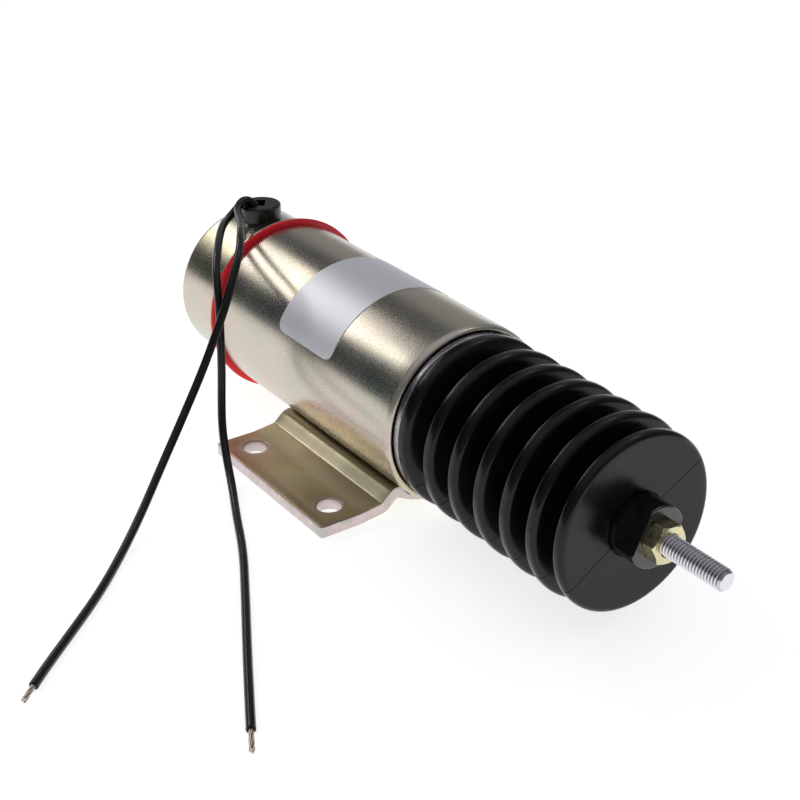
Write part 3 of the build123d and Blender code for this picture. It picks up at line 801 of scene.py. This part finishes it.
# =====================================================================
# bracket: flat blank with rounded rims and holes, bent to shape
# =====================================================================
def bracket():
    t = 1.9
    a, b, b1 = math.radians(30.5), math.radians(42.0), math.radians(6.5)
    CR, BR, SR, LR, LY = 3.0, 3.4, 27.0, 16.0, -29.4
    rs = SR + t
    cc = (-(rs + CR) * math.sin(a), AXIS_Z - (rs + CR) * math.cos(a))
    tp = (cc[0] - CR * math.sin(b), cc[1] + CR * math.cos(b))
    m1, m2 = math.tan(b1), math.tan(b)
    ky = (tp[1] - tp[0] * m2 - t + LY * m1) / (m1 - m2)
    kz = t + (ky - LY) * m1
    tl = BR * math.tan((b - b1) / 2)
    bc = (ky - tl * math.cos(b1) - BR * math.sin(b1), kz - tl * math.sin(b1) + BR * math.cos(b1))
    lc = (LY - LR * math.tan(b1 / 2), t + LR)
    low0 = (bc[0] + BR * math.sin(b1), bc[1] - BR * math.cos(b1))
    low1 = (lc[0] + LR * math.sin(b1), lc[1] - LR * math.cos(b1))
    rise0 = (bc[0] + BR * math.sin(b), bc[1] - BR * math.cos(b))
    # lengths of the mid-sheet line from the middle outwards, on the -Y side
    s1 = rs * a
    s2 = CR * (a + b)
    s3 = math.hypot(tp[0] - rise0[0], tp[1] - rise0[1])
    s4 = BR * (b - b1)
    s5 = math.hypot(low0[0] - low1[0], low0[1] - low1[1])
    s6 = LR * b1
    total = s1 + s2 + s3 + s4 + s5 + s6 + lc[0] + 42.5

    def bend(s, h):
        """Mid-line distance s outwards and height h over the mid sheet to (y, z), -Y side."""
        if s <= s1:
            q = s / rs
            r = rs - h
            return -r * math.sin(q), AXIS_Z - r * math.cos(q)
        s -= s1
        if s <= s2:
            q = s / CR
            ang = a - q                # crown: turns back the other way
            r = CR + h
            return cc[0] + r * math.sin(ang), cc[1] + r * math.cos(ang)
        s -= s2
        if s <= s3:
            u = s / s3
            y = tp[0] + (rise0[0] - tp[0]) * u
            z = tp[1] + (rise0[1] - tp[1]) * u
            return y - h * math.sin(b), z + h * math.cos(b)
        s -= s3
        if s <= s4:
            ang = b - s / BR
            r = BR - h
            return bc[0] + r * math.sin(ang), bc[1] - r * math.cos(ang)
        s -= s4
        if s <= s5:
            u = s / s5
            y = low0[0] + (low1[0] - low0[0]) * u
            z = low0[1] + (low1[1] - low0[1]) * u
            return y - h * math.sin(b1), z + h * math.cos(b1)
        s -= s5
        if s <= s6:
            ang = b1 - s / LR
            r = LR - h
            return lc[0] + r * math.sin(ang), lc[1] - r * math.cos(ang)
        s -= s6
        return lc[0] - s, t + h

    hole_s = s1 + s2 + s3 + s4 + s5 + s6 + (lc[0] + 34.0)
    # flat blank as a filled curve with a rounded rim
    cu = bpy.data.curves.new("blank", "CURVE")
    cu.dimensions = "2D"
    cu.fill_mode = "BOTH"
    bev = 0.42
    cu.extrude = t - bev
    cu.bevel_depth = bev
    cu.bevel_resolution = 3
    cu.offset = -bev

    def loop(pts):
        sp = cu.splines.new("POLY")
        sp.points.add(len(pts) - 1)
        for q, p in zip(sp.points, pts):
            q.co = (p[0], p[1], 0, 1)
        sp.use_cyclic_u = True

    L, W, rc = 30.1, total, 1.0
    outline = []
    for cx, cy, a0 in ((L - rc, W - rc, 0), (-L + rc, W - rc, 90), (-L + rc, -W + rc, 180), (L - rc, -W + rc, 270)):
        for j in range(9):
            q = math.radians(a0 + 90.0 * j / 8)
            outline.append((cx + rc * math.cos(q), cy + rc * math.sin(q)))
    loop(outline)
    for sx in (-1, 1):
        for sy in (-1, 1):
            loop([(sx * 21.0 + 3.75 * math.cos(-2 * math.pi * j / 56), sy * hole_s + 3.75 * math.sin(-2 * math.pi * j / 56))
                  for j in range(56)])
    tmp = bpy.data.objects.new("blank", cu)
    scene.collection.objects.link(tmp)
    bpy.context.view_layer.update()
    me = bpy.data.meshes.new_from_object(tmp.evaluated_get(bpy.context.evaluated_depsgraph_get()))
    bpy.data.objects.remove(tmp)
    bm = bmesh.new()
    bm.from_mesh(me)
    bpy.data.meshes.remove(me)
    bmesh.ops.remove_doubles(bm, verts=bm.verts, dist=1e-4)
    # cuts across the sheet where it bends, so that it can follow the bends
    cuts = set()
    for s in np.linspace(0, s1, 22):
        cuts.add(round(float(s), 4))
    for s in np.linspace(s1, s1 + s2, 13):
        cuts.add(round(float(s), 4))
    for s in np.linspace(s1 + s2, s1 + s2 + s3, 4):
        cuts.add(round(float(s), 4))
    for s in np.linspace(s1 + s2 + s3, s1 + s2 + s3 + s4, 13):
        cuts.add(round(float(s), 4))
    for s in np.linspace(s1 + s2 + s3 + s4, s1 + s2 + s3 + s4 + s5, 4):
        cuts.add(round(float(s), 4))
    for s in np.linspace(s1 + s2 + s3 + s4 + s5, s1 + s2 + s3 + s4 + s5 + s6, 6):
        cuts.add(round(float(s), 4))
    for s in sorted(cuts):
        for sign in ((1, -1) if s else (1,)):
            geom = bm.verts[:] + bm.edges[:] + bm.faces[:]
            bmesh.ops.bisect_plane(bm, geom=geom, dist=1e-5, plane_co=(0, sign * s, 0), plane_no=(0, 1, 0))
    bmesh.ops.recalc_face_normals(bm, faces=bm.faces)
    bm.normal_update()
    # the rim's faces get the sheared-edge finish
    for f in bm.faces:
        f.material_index = 1 if abs(f.normal.z) < 0.55 else 0
    for v in bm.verts:
        x, s, h = v.co
        y, z = bend(abs(s), h)
        # on the free side +h is the upper face all the way out
        v.co = (x * MM, (y if s > 0 else -y) * MM, max(0.0, z) * MM)
    bmesh.ops.recalc_face_normals(bm, faces=bm.faces)
    me = bpy.data.meshes.new("foot_bracket")
    bm.to_mesh(me)
    bm.free()
    me.materials.append(MAT["zinc_olive"])
    me.materials.append(MAT["zinc_edge"])
    ob = bpy.data.objects.new("foot_bracket", me)
    scene.collection.objects.link(ob)
    me.shade_smooth()
    me.set_sharp_from_angle(angle=math.radians(30))
    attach(ob, "housing")
    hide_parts("mounting_bracket")
    return ob


bracket()

# =====================================================================
# leads
# =====================================================================
LEAD_A = [
    (-70.1, -1.0, 57.4), (-70.9, -2.7, 61.8), (-71.8, -5.6, 63.0), (-70.1, -9.0, 61.8), (-64.6, -11.9, 61.4),
    (-53.3, -17.1, 62.8), (-42.5, -23.4, 64.3), (-35.5, -27.7, 63.2), (-31.1, -31.5, 60.5), (-28.5, -35.0, 55.8),
    (-26.6, -38.5, 49.9), (-25.7, -42.7, 42.3), (-23.8, -48.8, 32.9), (-20.0, -57.8, 22.5), (-13.2, -69.5, 12.1),
    (-4.3, -80.9, 4.8), (6.4, -92.5, 1.32), (19.9, -105.3, 1.30), (31.8, -118.6, 1.30), (42.2, -130.5, 1.30),
    (46.7, -135.2, 1.30)]
LEAD_B = [
    (-72.2, 0.4, 57.0), (-73.7, -1.8, 61.1), (-74.3, -4.6, 61.9), (-72.6, -8.6, 59.5), (-69.2, -13.2, 58.8),
    (-62.3, -18.9, 60.0), (-52.7, -25.4, 60.4), (-42.7, -31.6, 60.0), (-36.3, -35.7, 58.2), (-32.0, -37.8, 54.6),
    (-29.6, -38.9, 48.7), (-27.7, -40.1, 41.2), (-26.0, -41.2, 31.7), (-24.5, -42.7, 22.3), (-21.8, -44.6, 13.9),
    (-16.3, -46.7, 6.8), (-5.9, -50.7, 2.5), (6.8, -56.6, 1.32), (24.1, -64.2, 1.30), (41.4, -73.5, 1.30),
    (60.0, -83.7, 1.30), (77.7, -93.3, 1.30), (91.2, -100.5, 1.30)]


def wire(name, route, node, length, far, strand_len, swing):
    cu = bpy.data.curves.new(name, "CURVE")
    cu.dimensions = "3D"
    sp = cu.splines.new("NURBS")
    sp.points.add(len(route) - 1)
    for q, p in zip(sp.points, route):
        q.co = (p[0] * MM, p[1] * MM, p[2] * MM, 1)
    sp.order_u = 3
    sp.use_endpoint_u = True
    sp.resolution_u = 12
    cu.resolution_u = 12
    cu.bevel_depth = 1.25 * MM
    cu.bevel_resolution = 6
    cu.use_fill_caps = True
    cu.materials.append(MAT["lead_black"])
    ob = bpy.data.objects.new(name, cu)
    scene.collection.objects.link(ob)
    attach(ob, "housing")
    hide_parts(node)

    # bared strands: seven wires with a loose lay, fanning a little at the tip
    end = Vector(route[-1])
    along = (end - Vector(route[-2]))
    along.z = 0
    along.normalize()
    side = Vector((-along.y, along.x, 0))
    up = Vector((0, 0, 1))
    verts, faces = [], []
    rng = random.Random(len(name) * 13 + int(strand_len))
    lay = [(0.0, 0.0)] + [(0.5, j * math.tau / 6) for j in range(6)]
    for j, (rad, ph) in enumerate(lay):
        n, ns, rw = 16, 8, 0.235
        ln = strand_len * rng.uniform(0.93, 1.0) - 0.06
        base = len(verts)
        for k in range(n + 1):
            t = k / n
            twist = ph + t * 2.1
            grow = rad * (0.92 + 0.12 * t)
            c = Vector((end.x, end.y, 1.3)) + along * (ln * t) + side * (grow * math.cos(twist) + swing * t * t * 0.0) \
                + up * (grow * math.sin(twist))
            for i in range(ns):
                q = math.tau * i / ns
                verts.append(tuple((c + side * (rw * math.cos(q)) + up * (rw * math.sin(q))) * MM))
            if k:
                for i in range(ns):
                    m = (i + 1) % ns
                    faces.append((base + (k - 1) * ns + i, base + (k - 1) * ns + m, base + k * ns + m, base + k * ns + i))
        faces.append(tuple(base + i for i in range(ns))[::-1])
        faces.append(tuple(base + n * ns + i for i in range(ns)))
    st = make(name + "_bare", verts, faces, "wire_tinned", "housing", node=node + "_strands", slot="wire_tinned", sharp=60)
    return ob


wire("lead_long", LEAD_A, "lead_a", 0.2131, "bare", 6.2, 0.0)
wire("lead_short", LEAD_B, "lead_b", 0.2368, "bare", 8.0, 0.0)

# =====================================================================
# floor and light
# =====================================================================
fl = bpy.data.meshes.new("floor")
S = 4.0
fl.from_pydata([(-S, -S, 0), (S, -S, 0), (S, S, 0), (-S, S, 0)], [], [(0, 1, 2, 3)])
floor = bpy.data.objects.new("floor", fl)
scene.collection.objects.link(floor)
fm = Mat("floor_white", (0.66, 0.66, 0.66), 0.0, 0.9, Specular_IOR_Level=0.0)
fm.b.inputs["Emission Color"].default_value = (1.0, 1.0, 1.0, 1)
fm.b.inputs["Emission Strength"].default_value = 0.79
fl.materials.append(fm.m)


def card(name, az, el, dist, w, h, radiance, color=(1, 1, 1), centre=(0, 0, 0.04)):
    li = bpy.data.lights.new(name, "AREA")
    li.shape = "RECTANGLE"
    li.size, li.size_y = w, h
    li.energy = radiance * math.pi * w * h
    li.color = color
    ob = bpy.data.objects.new(name, li)
    scene.collection.objects.link(ob)
    a, e = math.radians(az), math.radians(el)
    d = Vector((math.cos(e) * math.cos(a), math.cos(e) * math.sin(a), math.sin(e)))
    ob.location = Vector(centre) + d * dist
    ob.rotation_euler = d.to_track_quat("Z", "Y").to_euler()
    ob.visible_camera = False
    return ob


card("softbox_left", -164, 33, 0.42, 0.24, 0.115, 2.9, (1.0, 0.985, 0.95))
card("softbox_over", 88, 58, 0.60, 0.16, 0.10, 2.2, (1.0, 0.96, 1.0))

w = bpy.data.worlds.new("studio")
scene.world = w
w.use_nodes = True
wt = w.node_tree
bg = wt.nodes["Background"]
tc = wt.nodes.new("ShaderNodeTexCoord")


def wdot(az, el):
    a, e = math.radians(az), math.radians(el)
    n = wt.nodes.new("ShaderNodeVectorMath")
    n.operation = "DOT_PRODUCT"
    n.inputs[1].default_value = (math.cos(e) * math.cos(a), math.cos(e) * math.sin(a), math.sin(e))
    wt.links.new(tc.outputs["Generated"], n.inputs[0])
    return n.outputs["Value"]


def patch(az, el, inner, outer, color, below):
    """A soft round patch of light in one direction; inner and outer are its angles in degrees."""
    r = wt.nodes.new("ShaderNodeMapRange")
    r.interpolation_type = "SMOOTHSTEP"
    r.inputs["From Min"].default_value = math.cos(math.radians(outer))
    r.inputs["From Max"].default_value = math.cos(math.radians(inner))
    wt.links.new(wdot(az, el), r.inputs["Value"])
    m = wt.nodes.new("ShaderNodeMix")
    m.data_type = "RGBA"
    wt.links.new(r.outputs["Result"], m.inputs[0])
    if below is None:
        m.inputs[6].default_value = (0.16, 0.165, 0.18, 1)
    else:
        wt.links.new(below, m.inputs[6])
    m.inputs[7].default_value = (*color, 1)
    return m.outputs[2]


sky = patch(0, 90, 25, 62, (0.46, 0.46, 0.50), None)              # bright ceiling
sky = patch(135, 8, 8, 42, (0.31, 0.32, 0.32), sky)                # grey card on the far side
sky = patch(-138, 3, 16, 31, (0.026, 0.040, 0.050), sky)           # dark flag low on the left
sky = patch(167, 36, 7, 20, (0.055, 0.068, 0.075), sky)               # dark gap beside the softbox
wt.links.new(sky, bg.inputs["Color"])
bg.inputs["Strength"].default_value = 1.0
